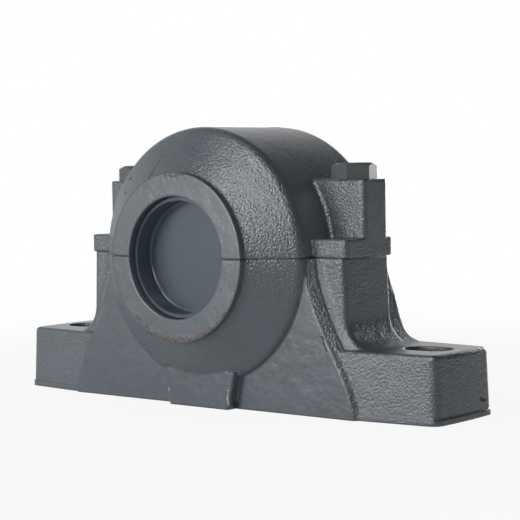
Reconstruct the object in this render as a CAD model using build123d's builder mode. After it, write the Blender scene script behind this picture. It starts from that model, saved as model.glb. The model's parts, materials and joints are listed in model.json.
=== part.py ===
"""Split plummer block for a 50 mm shaft, with its self-aligning ball bearing on an adapter sleeve.

Frame: origin at the centre of the base face, +Z up, length along X, shaft axis along Y.
The closed end, with its cover, faces -Y. The shaft enters from +Y. All sizes are in millimetres.
"""

from build123d import *
from math import cos, hypot, radians, sqrt
import os

# ---------------------------------------------------------------- shaft, sleeve and bearing
shaft_radius = 25.0
sleeve_wall = 2.5  # at the nut's side of the bearing
sleeve_taper = 1 / 24  # on the radius
sleeve_fit = 0.02
sleeve_length = 37.0
sleeve_overhang = 3.0  # past the bearing at its thick end
sleeve_slit = 5.0
sleeve_small_radius = shaft_radius + sleeve_wall

seat_radius = 50.0
bearing_fit = 0.05
bearing_outside = seat_radius - bearing_fit
bearing_section = bearing_outside - sleeve_small_radius
bearing_width = 0.42 * seat_radius
outer_ring_wall = 0.2566 * bearing_section
balls_per_row = 18
ball_radius = 0.2116 * bearing_section
row_offset = 0.238 * bearing_width
race_clearance = 0.12
shoulder_drop = 0.125 * bearing_section  # of the inner ring's shoulder under the ball circle
cage_drop = 1.7
cage_wall = 3.7
cage_setback = 1.1  # inside the bearing's faces
pocket_clearance = 0.2
locating_ring_gap = 60.0
locating_ring_width = 6.0
ring_chamfer = 1.0
race_radius = bearing_outside - outer_ring_wall
ball_circle_radius = sqrt((race_radius - ball_radius - race_clearance) ** 2 - row_offset**2)

nut_wall = 10.0
nut_width = 11.0
nut_notch_width = 7.0
nut_notch_depth = 3.0
nut_notches = 4
nut_radius = sleeve_small_radius + nut_wall
washer_thickness = 1.5
washer_wall = 6.5
washer_tab = 6.0  # radial length
washer_tabs = 17
washer_tab_width = 6.0
washer_key = 4.0  # radial length of the inner tab, in the sleeve's slit
key_play = 0.1
washer_radius = sleeve_small_radius + washer_wall

# ---------------------------------------------------------------- housing, inside
boss_span = 98.0  # over the faces of the two seal bosses
seat_width = bearing_width + 2 * locating_ring_width
seat_shoulder = 3.0
shoulder_height = 4.0
relief = 1.5  # of the grease space outside the seat
seal_gap = 3.1  # round the shaft
groove_depth = 5.9
groove_width = 4.8
groove_inset = 10.4  # behind the boss face
wall_inset = 13.0  # inner face of the side walls, behind the boss face
cavity_inset = 21.0
seat_shoulder_radius = seat_radius - shoulder_height
cavity_radius = seat_radius + relief
seal_bore_radius = shaft_radius + seal_gap
groove_radius = seal_bore_radius + groove_depth
groove_start = boss_span / 2 - groove_inset
groove_end = groove_start + groove_width
groove_middle = groove_start + groove_width / 2
overshoot = 1.0  # how far a cut runs past the face that it opens

# ---------------------------------------------------------------- housing, outside
length = 250.0  # over both feet
shaft_height = 70.0  # base face to shaft axis, which is also the joint between cap and base

barrel_wall = 8.0
shoulder_inset = 18.3  # from the boss face back to the full barrel
barrel_flat = boss_span - 2 * shoulder_inset
barrel_edge = 6.0
boss_wall = 10.8
boss_height = 3.5  # cylindrical band of the seal boss
boss_edge = 2.2
boss_root = 1.8
barrel_radius = cavity_radius + barrel_wall
boss_radius = seal_bore_radius + boss_wall

foot_height = 30.0
foot_inset = 21.2  # behind the boss faces, at foot_root_x, where the foot leaves the body
foot_root_depth = boss_span - 2 * foot_inset
foot_end_depth = 45.5
foot_corner = 5.0
foot_bow = 1.0  # how far the foot's end bulges
foot_edge = 2.0
foot_draft = 2.4  # degrees
rim_height = 2.6  # machined rim round the base face
rim_step = 0.5

slot_inset = 20.0  # slot centre to foot end
slot_length = 23.0
slot_width = 17.0
slot_spacing = length - 2 * slot_inset

bolt_offset = 6.5  # bolt axis outside the barrel
bolt_x = barrel_radius + bolt_offset
pillar_wall = 10.2
pillar_lean = 1.0
pillar_top_x = bolt_x + pillar_wall  # outer face of the bolt pillars at the joint
pillar_x = pillar_top_x + pillar_lean  # and above their sweep
pillar_front = 23.4  # how far pillars and ears reach in front of the shaft's mid plane
pillar_back = 11.0
pillar_sweep = 14.0  # radius where a pillar runs out onto its foot
pillar_edge = 3.0
pillar_back_edge = 1.0
pillar_root = 5.0  # how deep the pillar reaches into the foot
foot_lap = 1.2
foot_root_x = pillar_top_x - foot_lap
seam = 0.3  # how far a run-out dips under the surface that it joins

body_inset = 20.2  # flat faces of the A-shaped body, behind the boss faces
body_margin = 2.5
body_flare = 26.5
body_slope = 4.0  # bevel along the flat faces
body_depth = boss_span - 2 * body_inset
body_joint_x = barrel_radius + body_margin  # half width of the body at the joint
body_base_x = body_joint_x + body_flare  # and at the base face
web_inset = 25.0
web_margin = 7.5
web_runout = 11.6
web_edge = 2.5
web_depth = boss_span - 2 * web_inset
web_joint_x = barrel_radius + web_margin
web_foot_x = pillar_x + web_runout  # where the web has run out onto the foot

keel_inset = 14.75
keel_depth = boss_span - 2 * keel_inset  # over the two keels below the seal bosses
keel_top_x = 21.8
keel_base_x = 18.0
keel_height = 17.5
keel_edge = 1.2

ear_wall = 12.0
ear_x = bolt_x + ear_wall  # outer face of the cap's ears and lugs
ear_height = 8.5
ear_edge = 1.0
lug_half_depth = 9.3
lug_height = 34.5
lug_top = shaft_height + lug_height  # bolt seat above the base face
lug_edge = 2.5
lug_root_x = 30.0  # inside the barrel
lug_root = 2.4  # radius between lug and barrel
joint_rebate = 0.4  # fine step round the cap's joint face

# ---------------------------------------------------------------- fasteners
bolt_radius = 6.0
bolt_length = 55.0
bolt_across_flats = 18.0
bolt_head = 7.5
bolt_crown = 7.6  # radius of the flat on top of the head
bolt_slope = 0.58  # of the turned crown
bolt_tip = 1.2
bolt_turn = 45.6  # degrees, how the tightened heads happen to stand
bolt_clearance = 0.75
thread_clearance = 0.1
thread_spare = 4.0  # tapped depth below the bolt's end
bolt_end = lug_top - bolt_length

pin_offset = 4.6
pin_x = bolt_x + pin_offset
pin_y = -16.6
pin_radius = 3.0
pin_length = 13.0
pin_clearance = 0.02
pin_spare = 0.5  # hole beyond each end of the pin
pin_tip = 0.5

plug_y = 23.0
plug_radius = 5.0
plug_length = 6.0
plug_socket_depth = 3.5
plug_socket = 5.0  # across flats

# ---------------------------------------------------------------- cover and seals
cover_play = 0.5
cover_wall = 1.5
cover_inset = 3.4  # the cup's open rim, behind the boss face
cover_depth = 9.2
cover_floor = 2.0
cover_corner = 1.4
collar_width = 4.4
ring_section = 1.6  # radius of the rubber ring's cord, round the collar
ring_play = 0.2
cover_radius = seal_bore_radius - cover_play
collar_radius = groove_radius - 2 * ring_section - ring_play
seal_lip_gap = 0.3  # round the shaft
seal_neck = 0.6  # how far the seal's neck clears its bore
seal_lip = 0.9
seal_flare = 1.6
seal_split = 0.1
groove_play = 0.2
seal_lip_radius = shaft_radius + seal_lip_gap

axis = Axis((0, 0, shaft_height), (0, 1, 0))
axial = Plane((0, 0, shaft_height), x_dir=(1, 0, 0), z_dir=(0, 0, 1))  # x is radius, y is axial
joint_plane = Plane.XY.offset(shaft_height)
front = Plane.XZ  # x along the length, y up


def turned(points):
    """A section in the axial plane, from (radius, axial place) points."""
    with BuildSketch(axial) as section:
        with BuildLine():
            Polyline(*points, close=True)
        make_face()
    return section.sketch


def ring(inner, outer, start, end):
    """A turned ring between two radii and two axial places."""
    with BuildPart() as turning:
        revolve(turned([(inner, start), (outer, start), (outer, end), (inner, end)]), axis=axis)
    return turning.part


def upright(place):
    """Plane across the shaft axis, x along the length and y up. It extrudes towards -Y."""
    return Plane((0, place, shaft_height), x_dir=(1, 0, 0), z_dir=(0, -1, 0))


def barrel_section(inset=0.0):
    """Half section of the barrel, its conical shoulders and the two seal bosses."""
    face = boss_span / 2 - inset
    root = boss_span / 2 - boss_height
    boss = boss_radius - inset
    barrel = barrel_radius - inset
    shoulder = barrel_flat / 2
    with BuildSketch(axial) as section:
        with BuildLine():
            Polyline((0, -face), (boss, -face), (boss, -root), (barrel, -shoulder))
            Polyline((barrel, -shoulder), (barrel, shoulder), (boss, root), (boss, face), (0, face), (0, -face))
        make_face()
        corners = section.vertices()
        fillet([v for v in corners if abs(v.X - barrel) < 1e-6], barrel_edge)
        fillet([v for v in corners if abs(abs(v.Y) - face) < 1e-6 and v.X > seal_bore_radius], boss_edge)
        fillet([v for v in corners if abs(abs(v.Y) - root) < 1e-6], boss_root)
    return section.sketch


def cavity_section():
    """Half section of everything inside: bearing seat, grease space, seal bores and grooves."""
    shoulder = seat_width / 2
    shoulder_end = shoulder + seat_shoulder
    face = boss_span / 2
    half = [
        (seat_radius, shoulder),
        (seat_shoulder_radius, shoulder),
        (seat_shoulder_radius, shoulder_end),
        (cavity_radius, shoulder_end),
        (cavity_radius, face - cavity_inset),
        (groove_radius, face - wall_inset),
        (seal_bore_radius, face - wall_inset),
        (seal_bore_radius, groove_start),
        (groove_radius, groove_start),
        (groove_radius, groove_end),
        (seal_bore_radius, groove_end),
        (seal_bore_radius, face + overshoot),
        (0, face + overshoot),
    ]
    return turned(half + [(r, -y) for r, y in reversed(half)])


def foot_outline():
    """Plan of both feet as one tapered bar with bowed ends."""
    end = length / 2 - rim_step
    tip = end - foot_bow
    half_end = foot_end_depth / 2
    half_root = foot_root_depth / 2
    root = foot_root_x
    with BuildSketch() as plan:
        with BuildLine():
            Polyline((tip, half_end), (root, half_root), (-root, half_root), (-tip, half_end))
            ThreePointArc((-tip, half_end), (-end, 0), (-tip, -half_end))
            Polyline((-tip, -half_end), (-root, -half_root), (root, -half_root), (tip, -half_end))
            ThreePointArc((tip, -half_end), (end, 0), (tip, half_end))
        make_face()
        fillet(plan.vertices().filter_by(lambda v: abs(v.X) > root + rim_step), foot_corner)
    return plan.sketch


def upright_outline(side, tangents=()):
    """Outline between a curve, given for +X from the bottom up, and its mirror image."""
    with BuildSketch(front) as outline:
        with BuildLine():
            right = Spline(*side, tangents=tangents)
            left = Spline(*[(-x, z) for x, z in side], tangents=[(-x, z) for x, z in tangents])
            Line(right @ 1, left @ 1)
            Line(right @ 0, left @ 0)
        make_face()
    return outline.sketch


def flat_body():
    """The A-shaped body, bevelled along the sides of its flat faces."""
    with BuildPart() as body:
        extrude(upright_outline(body_side), amount=body_depth / 2, both=True)
        chamfer(body.edges().filter_by(GeomType.BSPLINE), body_slope)
    return body.part


def swept_web():
    """Web behind the body's flat faces, which runs out onto the feet."""
    with BuildPart() as web:
        extrude(upright_outline(web_side, web_tangents), amount=web_depth / 2, both=True)
        fillet(web.edges().filter_by(GeomType.BSPLINE), web_edge)
    return web.part


def keels():
    """The two keels under the seal bosses, as one bar through the body."""
    with BuildPart() as bar:
        with BuildSketch(front):
            with BuildLine():
                Polyline((keel_base_x, 0), (keel_top_x, keel_height))
                Polyline((keel_top_x, keel_height), (-keel_top_x, keel_height), (-keel_base_x, 0), (keel_base_x, 0))
            make_face()
        extrude(amount=keel_depth / 2, both=True)
        sides = bar.edges().filter_by(lambda e: 0.1 < e.center().Z < keel_height - 0.1)
        fillet(sides.filter_by(lambda e: abs(e.center().Y) > keel_depth / 2 - 0.1), keel_edge)
    return bar.part


def bolt_pillar():
    """Pillar on the +X foot that carries a cap bolt and runs out onto the foot."""
    low = foot_height - seam
    high = low + pillar_sweep
    out = pillar_x + pillar_sweep
    root = low - pillar_root
    with BuildPart() as post:
        with BuildSketch(front.offset(-pillar_back)):
            with BuildLine():
                RadiusArc((pillar_x, high), (out, low), -pillar_sweep)
                Polyline((out, low), (out, root), (seat_radius, root), (seat_radius, shaft_height))
                Polyline((seat_radius, shaft_height), (pillar_top_x, shaft_height), (pillar_x, high))
            make_face()
        extrude(amount=pillar_front + pillar_back)
        outer = post.edges().filter_by(
            lambda e: e.center().X > bolt_x + bolt_radius and low + 0.1 < e.center().Z < shaft_height - 0.1
        )
        fillet(outer.filter_by(lambda e: e.center().Y < 0.1 - pillar_front), pillar_edge)
        outer = post.edges().filter_by(
            lambda e: e.center().X > bolt_x + bolt_radius and low + 0.1 < e.center().Z < shaft_height - 0.1
        )
        fillet(outer.filter_by(lambda e: e.center().Y > pillar_back - 0.1), pillar_back_edge)
    return post.part


def ear_plan(inset=0.0):
    """Plan of the cap's +X ear, with its two outer corners rounded."""
    right = ear_x - inset
    with BuildSketch(joint_plane) as plan:
        with Locations(((seat_radius + right) / 2, (pillar_back - pillar_front) / 2)):
            Rectangle(right - seat_radius, pillar_front + pillar_back - 2 * inset)
        corners = plan.vertices().group_by(Axis.X)[-1].sort_by(Axis.Y)
        fillet(corners[0], pillar_edge)
        fillet(corners[-1], pillar_back_edge)
    return plan.sketch


def joint_ear():
    """Block by which the cap's +X side stands on its pillar."""
    with BuildPart() as ear:
        extrude(ear_plan(), amount=ear_height)
        rim = ear.faces().sort_by(Axis.Z)[-1].edges()
        fillet(rim.filter_by(lambda e: e.center().X > seat_radius + 0.1), ear_edge)
    return ear.part


def bolt_lug():
    """Tall lug of the cap's +X side, with a bolt's seat on top."""
    with BuildPart() as lug:
        with BuildSketch(joint_plane):
            with Locations(((lug_root_x + ear_x) / 2, 0)):
                Rectangle(ear_x - lug_root_x, 2 * lug_half_depth)
        extrude(amount=lug_top - shaft_height)
        fillet(lug.edges().filter_by(Axis.Z).filter_by(lambda e: e.center().X > ear_x - 0.1), lug_edge)
        rim = lug.faces().sort_by(Axis.Z)[-1].edges()
        fillet(rim.filter_by(lambda e: e.center().X > lug_root_x + 0.1), ear_edge)
    return lug.part


def at_lug_root(edge):
    """Whether an edge is a side of a lug's foot on the barrel."""
    middle = edge.center()
    beside = lug_root_x < abs(middle.X) and lug_half_depth / 2 < abs(middle.Y) < lug_half_depth + 0.1
    on_barrel = hypot(middle.X, middle.Z - shaft_height) < barrel_radius + 0.5
    return beside and on_barrel and middle.Z > shaft_height + 0.1


def cap_bolt(x):
    """Hexagon head bolt, head up, with a turned crown."""
    corner = bolt_across_flats / 2 / cos(radians(30))
    edge = bolt_head - (corner - bolt_crown) * bolt_slope
    with BuildPart() as bolt:
        with BuildSketch(Plane((x, 0, lug_top))):
            RegularPolygon(bolt_across_flats / 2, 6, major_radius=False, rotation=bolt_turn)
        extrude(amount=bolt_head)
        with BuildSketch(Plane((x, 0, lug_top), x_dir=(1, 0, 0), z_dir=(0, -1, 0))):
            with BuildLine():
                Polyline((0, 0), (corner, 0), (corner, edge), (bolt_crown, bolt_head), (0, bolt_head), close=True)
            make_face()
        revolve(axis=Axis((x, 0, 0), (0, 0, 1)), mode=Mode.INTERSECT)
        with BuildSketch(Plane((x, 0, lug_top))):
            Circle(bolt_radius)
        extrude(amount=-bolt_length)
        chamfer(bolt.edges().sort_by(Axis.Z)[0], bolt_tip)
    return bolt.part


def dowel_pin(x):
    """Straight pin across the joint, with chamfered ends."""
    with BuildPart() as pin:
        with BuildSketch(Plane((x, pin_y, shaft_height - pin_length / 2))):
            Circle(pin_radius)
        extrude(amount=pin_length)
        chamfer(pin.edges().filter_by(GeomType.CIRCLE), pin_tip)
    return pin.part


def seal_half(keep):
    """Half of the two-lipped rubber seal, split at the joint between base and cap."""
    half = groove_width / 2 - groove_play
    neck = seal_bore_radius - seal_neck
    reach = half + seal_flare
    section = [
        (groove_radius - groove_play, half),
        (neck, half),
        (seal_lip_radius, reach),
        (seal_lip_radius, reach - seal_lip),
        (neck - seal_lip, half - seal_lip),
    ]
    profile = [(r, groove_middle + y) for r, y in section]
    profile += [(r, groove_middle - y) for r, y in reversed(section)]
    side = 1 if keep == Keep.TOP else -1
    with BuildPart() as seal:
        revolve(turned(profile), axis=axis)
        split(bisect_by=joint_plane.offset(side * seal_split / 2), keep=keep)
    return seal.part


def ball_row(place, turn):
    """One row of balls round the shaft axis."""
    with BuildPart() as balls:
        with Locations(upright(place)):
            with PolarLocations(ball_circle_radius, balls_per_row, start_angle=turn):
                Sphere(ball_radius)
    return balls.part


rise = shaft_height - foot_height
body_spread = body_base_x - body_joint_x
body_side = [
    (body_base_x, 0),
    (body_joint_x + 0.755 * body_spread, 0.67 * foot_height),
    (body_joint_x + 0.434 * body_spread, foot_height + 0.15 * rise),
    (body_joint_x + 0.151 * body_spread, foot_height + 0.55 * rise),
    (body_joint_x, shaft_height),
]
web_spread = web_foot_x - web_joint_x
web_side = [
    (web_foot_x, foot_height - seam),
    (web_joint_x + 0.564 * web_spread, foot_height + 0.09 * rise),
    (web_joint_x + 0.376 * web_spread, foot_height + 0.28 * rise),
    (web_joint_x + 0.234 * web_spread, foot_height + 0.55 * rise),
    (web_joint_x, shaft_height),
]
web_tangents = [(-1, 0.12), (-0.22, 1)]
pin_places = [(-pin_x, pin_y), (pin_x, pin_y)]

# ---------------------------------------------------------------- housing base
with BuildPart() as housing_base:
    extrude(foot_outline(), amount=foot_height, taper=foot_draft)
    fillet(housing_base.faces().sort_by(Axis.Z)[-1].edges(), foot_edge)
    with BuildSketch():
        add(foot_outline())
        offset(amount=rim_step)
    extrude(amount=rim_height)
    add(flat_body())
    add(swept_web())
    add(bolt_pillar())
    mirror(bolt_pillar(), about=Plane.YZ)
    revolve(barrel_section(), axis=axis, revolution_arc=180)
    add(keels())
    revolve(cavity_section(), axis=axis, mode=Mode.SUBTRACT)
    with BuildSketch():
        with GridLocations(slot_spacing, 1, 2, 1):
            SlotOverall(slot_length, slot_width)
    extrude(amount=foot_height + pillar_sweep, mode=Mode.SUBTRACT)
    with BuildSketch(joint_plane):
        with GridLocations(2 * bolt_x, 1, 2, 1):
            Circle(bolt_radius + thread_clearance)
    extrude(amount=-(shaft_height - bolt_end + thread_spare), mode=Mode.SUBTRACT)
    with BuildSketch(joint_plane):
        with Locations(*pin_places):
            Circle(pin_radius + pin_clearance)
    extrude(amount=-(pin_length / 2 + pin_spare), mode=Mode.SUBTRACT)

# ---------------------------------------------------------------- housing cap
with BuildPart() as housing_cap:
    revolve(barrel_section(), axis=Axis(axis.position, -axis.direction), revolution_arc=180)
    add(bolt_lug())
    mirror(bolt_lug(), about=Plane.YZ)
    fillet(housing_cap.edges().filter_by(at_lug_root), lug_root)
    add(joint_ear())
    mirror(joint_ear(), about=Plane.YZ)
    revolve(cavity_section(), axis=axis, mode=Mode.SUBTRACT)
    with BuildSketch(joint_plane):
        with GridLocations(2 * bolt_x, 1, 2, 1):
            Circle(bolt_radius + bolt_clearance)
    extrude(amount=lug_top - shaft_height, mode=Mode.SUBTRACT)
    with BuildSketch(joint_plane):
        with Locations(*pin_places):
            Circle(pin_radius + pin_clearance)
    extrude(amount=pin_length / 2 + pin_spare, mode=Mode.SUBTRACT)
    with BuildSketch(joint_plane):
        with Locations((0, plug_y)):
            Circle(plug_radius)
    extrude(amount=barrel_radius, mode=Mode.SUBTRACT)
    with BuildSketch(joint_plane):
        Rectangle(length, length)
        for half in (barrel_section(joint_rebate), ear_plan(joint_rebate)):
            add(half, mode=Mode.SUBTRACT)
            mirror(half, about=Plane.YZ, mode=Mode.SUBTRACT)
    extrude(amount=joint_rebate, mode=Mode.SUBTRACT)

with BuildPart() as cap_bolt_left:
    add(cap_bolt(-bolt_x))
with BuildPart() as cap_bolt_right:
    add(cap_bolt(bolt_x))
with BuildPart() as dowel_pin_left:
    add(dowel_pin(-pin_x))
with BuildPart() as dowel_pin_right:
    add(dowel_pin(pin_x))

with BuildPart() as grease_plug:
    crown = Plane((0, plug_y, shaft_height + barrel_radius))
    with BuildSketch(crown):
        Circle(plug_radius)
    extrude(amount=-plug_length)
    with BuildSketch(crown):
        RegularPolygon(plug_socket / 2, 6, major_radius=False)
    extrude(amount=-plug_socket_depth, mode=Mode.SUBTRACT)

# ---------------------------------------------------------------- closed end, -Y
with BuildPart() as end_cover:
    cover_lip = boss_span / 2 - cover_inset
    floor_front = cover_lip - cover_depth
    cup = [
        (0, -floor_front),
        (cover_radius - cover_wall, -floor_front),
        (cover_radius - cover_wall, -cover_lip),
        (cover_radius, -cover_lip),
        (cover_radius, -groove_middle - collar_width / 2),
        (collar_radius, -groove_middle - collar_width / 2),
        (collar_radius, -groove_middle + collar_width / 2),
        (cover_radius, -groove_middle + collar_width / 2),
        (cover_radius, cover_floor - floor_front),
        (0, cover_floor - floor_front),
    ]
    with BuildSketch(axial) as cup_section:
        add(turned(cup))
        inside = cup_section.vertices().filter_by(lambda v: abs(v.X + cover_wall - cover_radius) < 1e-6)
        fillet(inside.sort_by(Axis.Y)[-1], cover_corner)
    revolve(axis=axis)

with BuildPart() as end_cover_ring:
    with BuildSketch(axial):
        with Locations((groove_radius - ring_section, -groove_middle)):
            Circle(ring_section)
    revolve(axis=axis)

# ---------------------------------------------------------------- open end, +Y
with BuildPart() as seal_half_upper:
    add(seal_half(Keep.TOP))
with BuildPart() as seal_half_lower:
    add(seal_half(Keep.BOTTOM))

# ---------------------------------------------------------------- bearing
half_bearing = bearing_width / 2
bore_start = sleeve_small_radius + sleeve_fit
bore_end = bore_start + bearing_width * sleeve_taper

with BuildPart() as locating_ring_front:
    add(ring(seat_shoulder_radius, bearing_outside, -seat_width / 2, -half_bearing))
    with BuildSketch(upright(-half_bearing)):
        with Locations((0, seat_radius)):
            Rectangle(locating_ring_gap, seat_radius)
    extrude(amount=seat_width, mode=Mode.SUBTRACT)
with BuildPart() as locating_ring_rear:
    mirror(locating_ring_front.part, about=front)

with BuildPart() as bearing_outer_ring:
    race_edge = sqrt(race_radius**2 - half_bearing**2)
    with BuildSketch(axial) as outer_section:
        with BuildLine():
            ThreePointArc((race_edge, -half_bearing), (race_radius, 0), (race_edge, half_bearing))
            Polyline((race_edge, half_bearing), (bearing_outside, half_bearing), (bearing_outside, -half_bearing))
            Line((bearing_outside, -half_bearing), (race_edge, -half_bearing))
        make_face()
        chamfer(outer_section.vertices().group_by(Axis.X)[-1], ring_chamfer)
    revolve(axis=axis)

with BuildPart() as bearing_inner_ring:
    shoulder_radius = ball_circle_radius - shoulder_drop
    blank = [
        (bore_start, -half_bearing),
        (shoulder_radius, -half_bearing),
        (shoulder_radius, half_bearing),
        (bore_end, half_bearing),
    ]
    with BuildSketch(axial):
        add(turned(blank))
        with Locations((ball_circle_radius, -row_offset), (ball_circle_radius, row_offset)):
            Circle(ball_radius + race_clearance, mode=Mode.SUBTRACT)
    revolve(axis=axis)

half_pitch = 180 / balls_per_row
with BuildPart() as ball_row_front:
    add(ball_row(-row_offset, 0))
with BuildPart() as ball_row_rear:
    add(ball_row(row_offset, half_pitch))

with BuildPart() as bearing_cage:
    cage_inside = ball_circle_radius - cage_drop
    cage_reach = half_bearing - cage_setback
    add(ring(cage_inside, cage_inside + cage_wall, -cage_reach, cage_reach))
    for place, turn in ((-row_offset, 0), (row_offset, half_pitch)):
        with Locations(upright(place)):
            with PolarLocations(ball_circle_radius, balls_per_row, start_angle=turn):
                Sphere(ball_radius + pocket_clearance, mode=Mode.SUBTRACT)

# ---------------------------------------------------------------- adapter sleeve and its nut
nut_start = -half_bearing - washer_thickness
nut_end = nut_start - nut_width
sleeve_end = half_bearing + sleeve_overhang
sleeve_start = sleeve_end - sleeve_length

with BuildPart() as adapter_sleeve:
    sleeve = [
        (shaft_radius, sleeve_start),
        (sleeve_small_radius, sleeve_start),
        (sleeve_small_radius, -half_bearing),
        (sleeve_small_radius + (sleeve_end + half_bearing) * sleeve_taper, sleeve_end),
        (shaft_radius, sleeve_end),
    ]
    revolve(turned(sleeve), axis=axis)
    with BuildSketch(upright(sleeve_end)):
        with Locations((0, shaft_radius)):
            Rectangle(sleeve_slit, shaft_radius)
    extrude(amount=sleeve_length, mode=Mode.SUBTRACT)

with BuildPart() as lock_washer:
    with BuildSketch(upright(-half_bearing)):
        Circle(washer_radius)
        with PolarLocations(washer_radius, washer_tabs, start_angle=90):
            Rectangle(2 * washer_tab, washer_tab_width)
        Circle(sleeve_small_radius + sleeve_fit, mode=Mode.SUBTRACT)
        with Locations((0, shaft_radius + washer_key / 2)):
            Rectangle(sleeve_slit - 2 * key_play, washer_key)
    extrude(amount=washer_thickness)

with BuildPart() as lock_nut:
    with BuildSketch(upright(nut_start)):
        Circle(nut_radius)
        Circle(sleeve_small_radius + sleeve_fit, mode=Mode.SUBTRACT)
        with PolarLocations(nut_radius, nut_notches):
            Rectangle(2 * nut_notch_depth, nut_notch_width, mode=Mode.SUBTRACT)
    extrude(amount=nut_width)

# ---------------------------------------------------------------- files, one for each piece
pieces = {
    "housing_base": housing_base,
    "housing_cap": housing_cap,
    "cap_bolt_left": cap_bolt_left,
    "cap_bolt_right": cap_bolt_right,
    "dowel_pin_left": dowel_pin_left,
    "dowel_pin_right": dowel_pin_right,
    "grease_plug": grease_plug,
    "end_cover": end_cover,
    "end_cover_ring": end_cover_ring,
    "seal_half_upper": seal_half_upper,
    "seal_half_lower": seal_half_lower,
    "locating_ring_front": locating_ring_front,
    "locating_ring_rear": locating_ring_rear,
    "bearing_outer_ring": bearing_outer_ring,
    "bearing_inner_ring": bearing_inner_ring,
    "bearing_cage": bearing_cage,
    "ball_row_front": ball_row_front,
    "ball_row_rear": ball_row_rear,
    "adapter_sleeve": adapter_sleeve,
    "lock_washer": lock_washer,
    "lock_nut": lock_nut,
}
os.makedirs("parts", exist_ok=True)
for name, piece in pieces.items():
    piece.part.label = name
    export_step(piece.part, f"parts/{name}.step")
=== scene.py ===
"""Dresses the split plummer block: cast paint, machined steel, rubber and its studio."""

import json
import math

import bpy
from mathutils import Matrix, Vector


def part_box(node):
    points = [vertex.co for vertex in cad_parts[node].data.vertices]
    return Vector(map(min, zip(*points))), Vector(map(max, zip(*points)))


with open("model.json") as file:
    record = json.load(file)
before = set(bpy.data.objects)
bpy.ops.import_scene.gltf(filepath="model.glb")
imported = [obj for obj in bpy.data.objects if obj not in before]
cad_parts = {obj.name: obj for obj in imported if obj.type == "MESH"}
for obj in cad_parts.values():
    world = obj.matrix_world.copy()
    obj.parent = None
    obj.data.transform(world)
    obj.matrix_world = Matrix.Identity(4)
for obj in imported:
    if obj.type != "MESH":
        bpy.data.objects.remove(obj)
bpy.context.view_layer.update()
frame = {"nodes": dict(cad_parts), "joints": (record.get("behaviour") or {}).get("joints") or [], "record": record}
nodes = frame["nodes"]
scene = bpy.context.scene

MM = 0.001
SHAFT_HEIGHT = frame["joints"][0]["pos_m"][2]
BOSS_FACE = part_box("housing_base")[1].y


# ---------------------------------------------------------------- node helpers
class Tree:
    """Adds shader nodes to one material or to the world, with short calls."""

    def __init__(self, material):
        self.nodes = material.node_tree.nodes
        self.links = material.node_tree.links

    def add(self, kind, **settings):
        node = self.nodes.new(kind)
        for name, value in settings.items():
            setattr(node, name, value)
        return node

    def put(self, socket, value):
        """Links another node's output to a socket, or sets a plain value on it."""
        if isinstance(value, bpy.types.NodeSocket):
            self.links.new(value, socket)
        else:
            socket.default_value = value

    def math(self, operation, a, b=0.0, c=0.0, clamp=False):
        node = self.add("ShaderNodeMath", operation=operation, use_clamp=clamp)
        for socket, value in zip(node.inputs, (a, b, c)):
            self.put(socket, value)
        return node.outputs[0]

    def span(self, value, low, high, start=0.0, end=1.0):
        """Maps low..high onto start..end with soft shoulders, held at both ends."""
        node = self.add("ShaderNodeMapRange", interpolation_type="SMOOTHSTEP")
        for socket, number in zip(node.inputs, (value, low, high, start, end)):
            self.put(socket, number)
        return node.outputs[0]

    def vector(self, operation, a, b=(0.0, 0.0, 0.0), c=(0.0, 0.0, 0.0)):
        node = self.add("ShaderNodeVectorMath", operation=operation)
        for socket, value in zip(node.inputs, (a, b, c)):
            self.put(socket, value)
        return node.outputs["Value" if operation in ("DOT_PRODUCT", "DISTANCE") else "Vector"]

    def off_line(self, place, corners):
        """The distance from a line of straight pieces through corners given in mm."""
        nearest = None
        for start, end in zip(corners, corners[1:]):
            start, end = Vector(start) * MM, Vector(end) * MM
            along = end - start
            from_start = self.vector("SUBTRACT", place, start)
            share = self.vector("DOT_PRODUCT", from_start, along / along.length_squared)
            share = self.math("MULTIPLY", share, 1.0, clamp=True)
            foot = self.vector("MULTIPLY_ADD", share, along, start)
            away = self.vector("DISTANCE", place, foot)
            nearest = away if nearest is None else self.math("MINIMUM", nearest, away)
        return nearest

    def mix(self, factor, a, b):
        node = self.add("ShaderNodeMix", data_type="RGBA")
        self.put(node.inputs["Factor"], factor)
        self.put(node.inputs["A"], a)
        self.put(node.inputs["B"], b)
        return node.outputs["Result"]

    def noise(self, place, scale, detail=2.0, roughness=0.5):
        node = self.add("ShaderNodeTexNoise")
        self.put(node.inputs["Vector"], place)
        self.put(node.inputs["Scale"], scale)
        self.put(node.inputs["Detail"], detail)
        self.put(node.inputs["Roughness"], roughness)
        return node.outputs["Fac"]

    def bump(self, height, distance, strength=1.0, normal=None):
        node = self.add("ShaderNodeBump")
        self.put(node.inputs["Height"], height)
        self.put(node.inputs["Distance"], distance)
        self.put(node.inputs["Strength"], strength)
        if normal is not None:
            self.put(node.inputs["Normal"], normal)
        return node.outputs["Normal"]


def new_material(name, colour, roughness, metallic=0.0):
    """A principled material, its tree helper and its shader."""
    material = bpy.data.materials.new(name)
    material.use_nodes = True
    tree = Tree(material)
    shader = material.node_tree.nodes["Principled BSDF"]
    shader.inputs["Base Color"].default_value = (*colour, 1.0)
    shader.inputs["Roughness"].default_value = roughness
    shader.inputs["Metallic"].default_value = metallic
    return material, tree, shader


def linear(red, green, blue):
    """A screen colour from 0 to 255 as scene linear values."""
    return tuple(
        c / 12.92 if c <= 0.04045 else ((c + 0.055) / 1.055) ** 2.4
        for c in (red / 255, green / 255, blue / 255)
    )


# ---------------------------------------------------------------- cast paint
BODY_FACE = 0.0288  # flat faces of the A-shaped body, from the mid plane
KEEL_FACE = 0.03425
FACE_REACH = 0.0006  # how far from its plane a surface still counts as that face
FACE_CALM = 0.86  # share of the grain that a flat face loses
BOSS_CALM = 0.85  # how calm the boss faces are, compared with the body's

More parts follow.
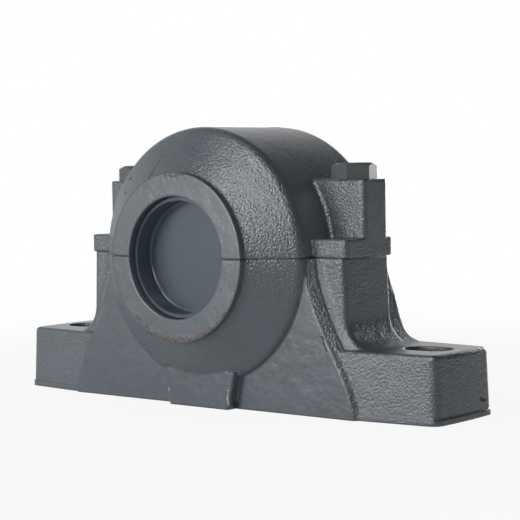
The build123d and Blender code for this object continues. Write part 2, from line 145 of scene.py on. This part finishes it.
PAINT_DARK = linear(81, 91, 99)
PAINT_LIGHT = linear(88, 98, 107)
PAINT_ROUGHNESS = 0.28
PAINT_SPECULAR = 1.0
# bare iron, also used as a painted highlight down the pillar's back edge
BARE_IRON_AND_HIGHLIGHT = linear(182, 184, 182)
CHIP_DARK = linear(40, 38, 36)
RUST_BROWN = linear(84, 50, 38)
MARK_ROUGHNESS = 0.7

GRAIN_SCALE = 1000.0
LUMP_SCALE = 150.0
LUMP_SHARE = 0.8
SHADE_SCALE = 45.0
FLECK_SCALE = 760.0
WANDER_SCALE = 330.0  # how finely the marked lines wander
WANDER_WIDTH = 0.0034
GRAIN_DEPTH = 0.0004
CHIP_DEPTH_SHARE = 0.5
CORE_SHARE = 0.45  # part of a mark's reach at full strength
FLECK_STEP = 0.07  # how sharply flecks break a mark up
EDGE_SOFTNESS = 0.0016  # radius by which edges are shaded round

# Where the paint has cracked, chipped, rusted or rubbed through, in mm, plus a dark stroke on the body's right
# front edge and a painted highlight down the pillar's back edge.
CRACK_LINES = [
    [(-16.1, -38.1, 116.5), (-17.0, -40.6, 112.4), (-18.4, -42.7, 108.7), (-20.3, -45.2, 103.2)],
]
DARK_FLECKED_LINES = [
    [(-12.1, -45.5, 107.0), (-21.7, -44.9, 103.2), (-31.9, -45.0, 93.4), (-38.2, -44.5, 83.6)],
    # a short dark flecked stroke down the body's right front edge, just above the foot
    [(67.7, -28.8, 35.8), (70.9, -28.8, 29.8)],
    [(-74.9, -28.8, 31.5), (-79.1, -28.8, 20.3), (-82.6, -28.8, 11.1)],
]
CHIP_SPOTS = [
    [(-38.9, -35.2, 106.4), (-39.0, -35.3, 105.9)],
    [(-40.1, -37.6, 99.8), (-40.1, -37.7, 99.4)],
    [(124.0, 12.2, 7.8), (124.0, 15.5, 6.7)],
    [(17.7, -28.8, 2.6), (17.9, -28.8, 1.0)],
]
RUST_LINES = [
    [(-4.6, -49.0, 107.4), (6.4, -49.0, 107.3)],
    [(-23.8, -49.0, 41.9), (-15.8, -49.0, 35.4), (-3.4, -49.0, 32.4)],
    [(-3.4, -49.0, 32.4), (11.8, -49.0, 33.6), (23.8, -49.0, 39.5), (31.5, -49.0, 47.5)],
]
RUST_BANDS = [[(124.3, -14.2, 28.6), (124.3, 20.0, 28.8)]]
RUBBED_LINES = [
    [(17.7, -34.2, 1.0), (18.6, -34.2, 9.0)],
    [(-17.7, -34.2, 1.0), (-18.4, -34.2, 7.0)],
]
# Bare iron at the joint and at the foot's end; down the pillar's back edge (y = 11 mm) the same bright line is a
# painted highlight.
SCRAPED_AND_HIGHLIT_EDGES = [
    [(76.4, -2.5, 69.8), (76.4, 10.5, 69.8), (76.6, 11.0, 56.0), (77.0, 11.0, 46.0), (79.5, 11.0, 38.0)],
    [(124.0, -19.5, 28.9), (124.0, -16.5, 28.9)],
]


def cast_paint():
    """Glossy grey-blue paint over sand-cast iron: orange peel, calmer on the flat faces."""
    material, tree, shader = new_material("cast_paint", PAINT_DARK, PAINT_ROUGHNESS)
    place = tree.add("ShaderNodeTexCoord").outputs["Object"]
    geometry = tree.add("ShaderNodeNewGeometry")
    split_place = tree.add("ShaderNodeSeparateXYZ")
    split_normal = tree.add("ShaderNodeSeparateXYZ")
    tree.put(split_place.inputs[0], place)
    tree.put(split_normal.inputs[0], geometry.outputs["Normal"])
    depth = tree.math("ABSOLUTE", split_place.outputs["Y"])
    facing = tree.span(tree.math("ABSOLUTE", split_normal.outputs["Y"]), 0.96, 0.995)

    def on_face(place_of_face):
        """One on a flat face at this distance from the mid plane, nought away from it."""
        away = tree.math("ABSOLUTE", tree.math("SUBTRACT", depth, place_of_face))
        return tree.math("MULTIPLY", facing, tree.span(away, FACE_REACH, FACE_REACH / 2))

    calm = tree.math("MAXIMUM", on_face(BODY_FACE), on_face(KEEL_FACE))
    calm = tree.math("MAXIMUM", calm, tree.math("MULTIPLY", on_face(BOSS_FACE), BOSS_CALM))

    grain = tree.noise(place, GRAIN_SCALE)
    lumps = tree.noise(place, LUMP_SCALE)
    shade = tree.span(tree.noise(place, SHADE_SCALE, 3.0, 0.6), 0.3, 0.7)
    colour = tree.mix(shade, (*PAINT_DARK, 1.0), (*PAINT_LIGHT, 1.0))
    shader.inputs["Specular IOR Level"].default_value = PAINT_SPECULAR

    wander = tree.add("ShaderNodeTexNoise")
    tree.put(wander.inputs["Vector"], place)
    tree.put(wander.inputs["Scale"], WANDER_SCALE)
    drift = tree.vector("SUBTRACT", wander.outputs["Color"], (0.5, 0.5, 0.5))
    drifted = tree.vector("MULTIPLY_ADD", drift, (WANDER_WIDTH,) * 3, place)
    flecks = tree.noise(place, FLECK_SCALE, 1.0)

    def wear_and_highlight_lines(lines, reach, cover=0.0):
        """A mask along lines, as far as reach in mm; cover hides all but the strongest flecks."""
        mask = None
        for line in lines:
            one = tree.span(tree.off_line(drifted, line), reach * MM, reach * MM * CORE_SHARE)
            mask = one if mask is None else tree.math("MAXIMUM", mask, one)
        if cover:
            mask = tree.math("MULTIPLY", mask, tree.span(flecks, cover, cover + FLECK_STEP))
        return mask

    chips = wear_and_highlight_lines(CRACK_LINES, 0.8, 0.34)
    chips = tree.math("MAXIMUM", chips, wear_and_highlight_lines(DARK_FLECKED_LINES, 0.85, 0.42))
    chips = tree.math("MAXIMUM", chips, wear_and_highlight_lines(CHIP_SPOTS, 1.3))
    rust = wear_and_highlight_lines(RUST_LINES, 1.3, 0.45)
    rust = tree.math("MAXIMUM", rust, wear_and_highlight_lines(RUST_BANDS, 1.5, 0.36))
    # bare iron where rubbed or scraped, plus a painted highlight down the pillar's back edge
    bare_and_highlit = tree.math("MAXIMUM", wear_and_highlight_lines(RUBBED_LINES, 0.6, 0.38), wear_and_highlight_lines(SCRAPED_AND_HIGHLIT_EDGES, 1.3, 0.3))
    colour = tree.mix(bare_and_highlit, colour, (*BARE_IRON_AND_HIGHLIGHT, 1.0))
    colour = tree.mix(chips, colour, (*CHIP_DARK, 1.0))
    colour = tree.mix(rust, colour, (*RUST_BROWN, 1.0))
    tree.put(shader.inputs["Base Color"], colour)
    marks = tree.math("MAXIMUM", chips, rust)
    tree.put(shader.inputs["Roughness"], tree.span(marks, 0.0, 1.0, PAINT_ROUGHNESS, MARK_ROUGHNESS))

    soft_edge = tree.add("ShaderNodeBevel", samples=6)
    soft_edge.inputs["Radius"].default_value = EDGE_SOFTNESS
    left_rough = tree.math("SUBTRACT", 1.0, tree.math("MULTIPLY", calm, FACE_CALM))
    height = tree.math("MULTIPLY_ADD", lumps, LUMP_SHARE, tree.math("MULTIPLY", left_rough, grain))
    height = tree.math("SUBTRACT", height, tree.math("MULTIPLY", chips, CHIP_DEPTH_SHARE))
    tree.put(shader.inputs["Normal"], tree.bump(height, GRAIN_DEPTH, 1.0, soft_edge.outputs[0]))
    return material


MACHINING_SCALE = 900.0
MACHINING_DEPTH = 0.00003


def plain_steel(name, colour, roughness):
    """Bare steel with faint machining marks."""
    material, tree, shader = new_material(name, linear(*colour), roughness, 1.0)
    place = tree.add("ShaderNodeTexCoord").outputs["Object"]
    marks = tree.noise(place, MACHINING_SCALE)
    tree.put(shader.inputs["Normal"], tree.bump(marks, MACHINING_DEPTH, 0.6))
    return material


FINISHES = {
    "cast_body": cast_paint(),
    "zinc_steel": new_material("bolt_steel", linear(96, 101, 102), 0.45)[0],
    "ground_steel": plain_steel("ground_steel", (196, 198, 200), 0.3),
    "dark_steel": plain_steel("dark_steel", (92, 92, 94), 0.45),
    "cage_steel": plain_steel("cage_steel", (150, 150, 150), 0.4),
    "ball_steel": plain_steel("ball_steel", (222, 224, 226), 0.12),
    "cover_paint": new_material("cover_paint", linear(84, 96, 106), 0.25)[0],
    "black_rubber": new_material("black_rubber", linear(28, 28, 29), 0.6)[0],
}
slots = {part["node"]: part["material_slot"] for part in frame["record"]["subparts"]}
for name, obj in nodes.items():
    obj.data.materials.clear()
    obj.data.materials.append(FINISHES[slots[name]])


# ---------------------------------------------------------------- studio
FLOOR_SIZE = 8.0
FLOOR_WHITE_SHARE = 0.9  # close to the block; the rest of the floor's look is lit and holds the shadow
SHADOW_REACH = (0.2, 0.55)  # distances from the middle over which the floor turns fully white
FLOOR_GLOSS_SHARE = 0.35  # share of white that reflections see in the floor
FILL_LEVEL = 0.34
REFLECTED_SCREENS = [  # the way it lies, where it starts, where it is full, its level
    ((-1.0, 0.0, 0.1), 0.2, 0.9, 0.49),
    ((-0.64, 0.77, 0.0), 0.7, 0.95, 1.0),
]


def studio_floor():
    """A pale floor that reads as white paper from the camera and keeps the block's shadow."""
    bpy.ops.mesh.primitive_plane_add(size=FLOOR_SIZE)
    floor = bpy.context.object
    floor.name = "studio_floor"
    material, tree, shader = new_material("studio_floor", (0.8, 0.8, 0.8), 0.9)
    shader.inputs["Specular IOR Level"].default_value = 0.0
    path = tree.add("ShaderNodeLightPath")
    seen = tree.math("MULTIPLY", path.outputs["Is Glossy Ray"], FLOOR_GLOSS_SHARE)
    place = tree.add("ShaderNodeTexCoord").outputs["Object"]
    away = tree.vector("DISTANCE", place, (0.0, 0.0, 0.0))
    white = tree.span(away, *SHADOW_REACH, FLOOR_WHITE_SHARE, 1.0)
    seen = tree.math("MULTIPLY_ADD", path.outputs["Is Camera Ray"], white, seen)
    glow = tree.add("ShaderNodeEmission")
    glow.inputs["Strength"].default_value = 1.0
    mixer = tree.add("ShaderNodeMixShader")
    tree.put(mixer.inputs[0], seen)
    tree.put(mixer.inputs[1], shader.outputs[0])
    tree.put(mixer.inputs[2], glow.outputs[0])
    tree.put(material.node_tree.nodes["Material Output"].inputs["Surface"], mixer.outputs[0])
    floor.data.materials.append(material)
    return floor


def studio_world():
    """White to the camera, an even fill, and white screens at the left and behind in reflections."""
    world = bpy.data.worlds.new("studio")
    scene.world = world
    world.use_nodes = True
    tree = Tree(world)
    background = world.node_tree.nodes["Background"]
    background.inputs["Color"].default_value = (1.0, 1.0, 1.0, 1.0)
    towards = tree.add("ShaderNodeTexCoord").outputs["Generated"]
    screens = None
    for facing, low, high, level in REFLECTED_SCREENS:
        share = tree.vector("DOT_PRODUCT", towards, facing)
        share = tree.span(share, low, high, 0.0, level)
        screens = share if screens is None else tree.math("MAXIMUM", screens, share)
    path = tree.add("ShaderNodeLightPath")
    strength = tree.math("MULTIPLY", screens, path.outputs["Is Glossy Ray"])
    strength = tree.math("MULTIPLY_ADD", path.outputs["Is Diffuse Ray"], FILL_LEVEL, strength)
    strength = tree.math("ADD", strength, path.outputs["Is Camera Ray"])
    strength = tree.math("ADD", strength, path.outputs["Is Transmission Ray"])
    tree.put(background.inputs["Strength"], strength)


def soft_box(name, place, size, watts):
    """A square area lamp that looks at the middle of the block."""
    lamp = bpy.data.lights.new(name, "AREA")
    lamp.size = size
    lamp.energy = watts
    obj = bpy.data.objects.new(name, lamp)
    scene.collection.objects.link(obj)
    target = Vector((0.0, 0.0, SHAFT_HEIGHT))
    obj.location = place
    obj.rotation_euler = (target - Vector(place)).to_track_quat("-Z", "Y").to_euler()
    return obj


studio_floor()
studio_world()
soft_box("key_light", (-0.4403, -1.2098, 0.2509), 0.6, 6.8)
soft_box("side_light", (-1.0487, -0.7343, 0.2957), 0.8, 1.4)
soft_box("back_light", (-0.15, 1.29, 0.16), 0.5, 9.0)
sparkle_light = soft_box("sparkle_light", (0.4178, -1.1479, 0.5146), 0.35, 6.0)
sparkle_light.visible_diffuse = False  # it only glints on the grain
upper_sparkle = soft_box("upper_sparkle", (0.0, -0.87, 1.036), 0.5, 6.5)
upper_sparkle.visible_diffuse = False


# ---------------------------------------------------------------- camera
def look(place, heading, pitch, roll, lens, shift):
    """A camera turned by heading (0 looks along +Y), pitch and roll, in degrees."""
    yaw, tip, tilt = (math.radians(a) for a in (heading, pitch, roll))
    forward = Vector((-math.sin(yaw) * math.cos(tip), math.cos(yaw) * math.cos(tip), math.sin(tip)))
    right = Vector((math.cos(yaw), math.sin(yaw), 0.0))
    up = right.cross(forward)
    level = (right * math.cos(tilt) + up * math.sin(tilt), up * math.cos(tilt) - right * math.sin(tilt))
    camera = bpy.data.cameras.new("camera")
    camera.lens = lens
    camera.shift_x, camera.shift_y = shift
    camera.clip_start = 0.01
    obj = bpy.data.objects.new("camera", camera)
    scene.collection.objects.link(obj)
    axes = Matrix((level[0], level[1], -forward)).transposed().to_4x4()
    obj.matrix_world = Matrix.Translation(place) @ axes
    scene.camera = obj


look((0.49988, -0.60326, 0.11321), 39.10, -3.54, -0.93, 113.79, (0.0028, 0.0059))

scene.view_settings.view_transform = "Standard"
